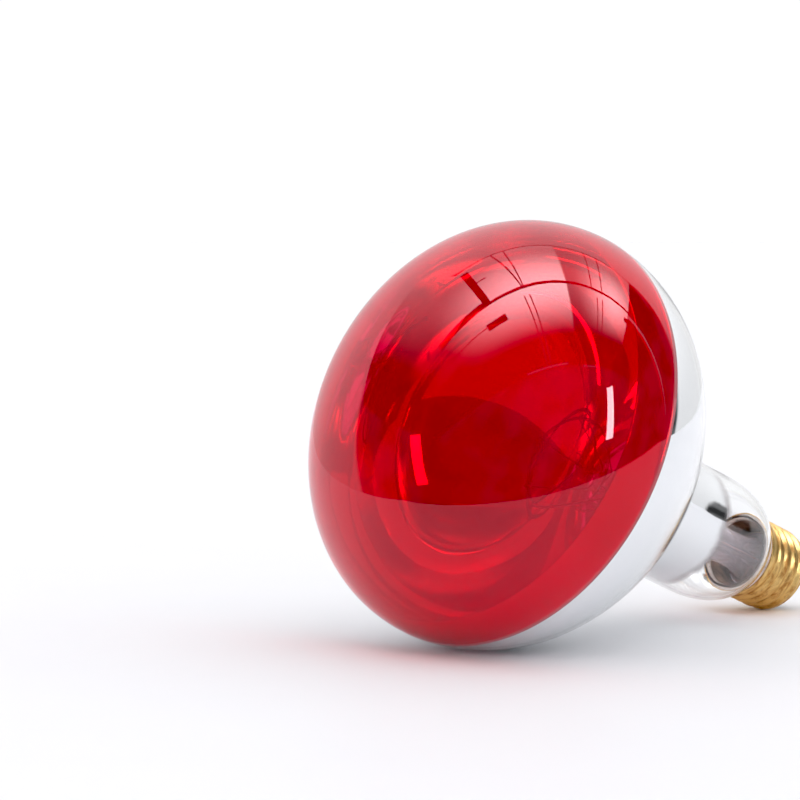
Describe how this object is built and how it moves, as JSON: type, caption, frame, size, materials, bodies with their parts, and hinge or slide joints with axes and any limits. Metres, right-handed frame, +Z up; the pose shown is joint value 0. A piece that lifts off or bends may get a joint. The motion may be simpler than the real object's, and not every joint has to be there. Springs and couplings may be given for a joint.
{
  "type": "infrared reflector heat lamp",
  "caption": "Mushroom-shaped reflector heat lamp with a ruby front, a mirrored bowl, a clear glass shoulder and a brass screw cap, lying on its side.",
  "frame": {"origin": "below the middle of the lamp's box, on the surface that the lamp lies on", "axes": "+Z up from that surface; the lamp's axis lies in the XZ plane and leans down by 21.8 degrees towards +X, from the dome at -X to the screw cap at +X"},
  "size_m": [0.1764, 0.126, 0.1212],
  "materials": {
    "clear_glass": "clear blown glass, smooth",
    "ruby_glass": "ruby filter layer on the glass, clear and glossy",
    "mirror": "aluminium evaporated on the inside of the glass",
    "brass": "rolled sheet brass, lightly scuffed on the thread crests",
    "solder": "dull soft solder",
    "cement": "chalky basing cement",
    "vitrite": "black moulded glass",
    "nickel": "drawn nickel-plated wire",
    "copper": "drawn copper and copper-clad wire",
    "molybdenum": "fine drawn wire",
    "tungsten": "coiled tungsten wire, dark grey"
  },
  "bodies": {
    "root": {"glass_envelope": "clear_glass", "ruby_front_coating": "ruby_glass", "mirror_coating": "mirror", "stem_flare_and_press": "clear_glass", "exhaust_tube": "clear_glass", "support_arbor": "clear_glass", "filament": "tungsten", "filament_support_1": "molybdenum", "filament_support_2": "molybdenum", "filament_support_3": "molybdenum", "filament_support_4": "molybdenum", "filament_support_5": "molybdenum", "inner_lead_left": "nickel", "inner_lead_right": "nickel", "press_wire_left": "copper", "press_wire_right": "copper", "outer_lead_centre": "copper", "outer_lead_side": "copper", "screw_shell": "brass", "basing_cement": "cement", "cap_insulator": "vitrite", "contact_plate": "brass", "centre_solder": "solder", "side_solder": "solder"}
  },
  "joints": []
}
